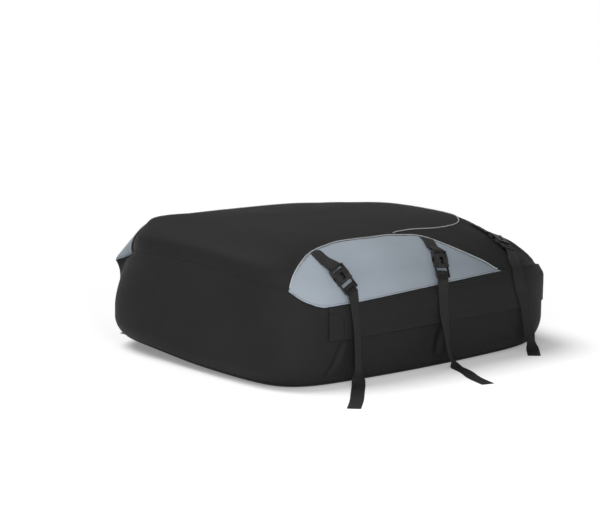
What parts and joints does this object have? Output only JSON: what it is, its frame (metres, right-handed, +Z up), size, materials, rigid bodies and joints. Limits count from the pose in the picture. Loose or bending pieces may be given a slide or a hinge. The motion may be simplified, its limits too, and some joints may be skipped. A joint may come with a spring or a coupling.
{
  "type": "roof cargo bag",
  "caption": "Soft roof cargo bag packed full, with side panels, a covered rear zip, piping and webbing straps with side-release buckles and loose tails.",
  "frame": {"origin": "centre of the flat base, on its underside", "axes": "+X towards the rear end with the zip, +Z up, -Y the near side with the front end of the storm flap"},
  "size_m": [1.0823, 1.2766, 0.3959],
  "materials": {
    "cloth": "woven, water-resistant coating, dull",
    "base": "coarse woven, dull",
    "grey": "smooth coated, slight sheen",
    "piping": "smooth coated, slight sheen",
    "zip": "woven tape and nylon coil",
    "slider": "dark nickel, worn",
    "webbing": "tight woven webbing, dull",
    "buckle": "moulded, glossy"
  },
  "bodies": {
    "bag": {"base_panel": "base", "side_wall_near": "cloth", "side_wall_far": "cloth", "rear_wall": "cloth", "front_panel": "cloth", "zip_coil_lower": "zip", "zip_coil_upper": "zip", "zip_tape_lower": "zip", "zip_tape_upper": "zip", "storm_flap": "cloth", "flap_end_near": "cloth", "flap_end_far": "cloth", "lid_band": "cloth", "grey_panel_near": "grey", "grey_panel_far": "grey", "rear_slope_panel": "cloth", "top_panel": "cloth", "piping_near": "piping", "piping_far": "piping", "piping_top": "piping", "buckle_socket_front_near": "buckle", "buckle_socket_front_far": "buckle", "buckle_socket_middle_near": "buckle", "buckle_socket_middle_far": "buckle", "buckle_socket_rear_near": "buckle", "buckle_socket_rear_far": "buckle", "webbing_front_near": "webbing", "webbing_front_far": "webbing", "webbing_middle_near": "webbing", "webbing_middle_far": "webbing", "webbing_rear_near": "webbing", "webbing_rear_far": "webbing"},
    "plug_front_near": {"buckle_plug_front_near": "buckle", "tail_front_near": "webbing"},
    "plug_front_far": {"buckle_plug_front_far": "buckle", "tail_front_far": "webbing"},
    "plug_middle_near": {"buckle_plug_middle_near": "buckle", "tail_middle_near": "webbing"},
    "plug_middle_far": {"buckle_plug_middle_far": "buckle", "tail_middle_far": "webbing"},
    "plug_rear_near": {"buckle_plug_rear_near": "buckle", "tail_rear_near": "webbing"},
    "plug_rear_far": {"buckle_plug_rear_far": "buckle", "tail_rear_far": "webbing"},
    "slider_near": {"zip_slider_near": "slider", "zip_pull_near": "slider"},
    "slider_far": {"zip_slider_far": "slider", "zip_pull_far": "slider"}
  },
  "joints": [
    {"name": "release_front_near", "type": "slide", "parent": "bag", "child": "plug_front_near", "axis": [0.4088, -0.4354, -0.8021], "range_m": [0, 0.03]},
    {"name": "release_front_far", "type": "slide", "parent": "bag", "child": "plug_front_far", "axis": [0.4088, 0.4354, -0.8021], "range_m": [0, 0.03]},
    {"name": "release_middle_near", "type": "slide", "parent": "bag", "child": "plug_middle_near", "axis": [-0.1579, -0.4675, -0.8698], "range_m": [0, 0.03]},
    {"name": "release_middle_far", "type": "slide", "parent": "bag", "child": "plug_middle_far", "axis": [-0.1579, 0.4675, -0.8698], "range_m": [0, 0.03]},
    {"name": "release_rear_near", "type": "slide", "parent": "bag", "child": "plug_rear_near", "axis": [-0.0971, -0.9299, -0.3549], "range_m": [0, 0.03]},
    {"name": "release_rear_far", "type": "slide", "parent": "bag", "child": "plug_rear_far", "axis": [-0.0971, 0.9299, -0.3549], "range_m": [0, 0.03]},
    {"name": "zip_near", "type": "slide", "parent": "bag", "child": "slider_near", "axis": [0, -1, 0], "range_m": [0, 0.15]},
    {"name": "zip_far", "type": "slide", "parent": "bag", "child": "slider_far", "axis": [0, 1, 0], "range_m": [0, 0.15]}
  ]
}
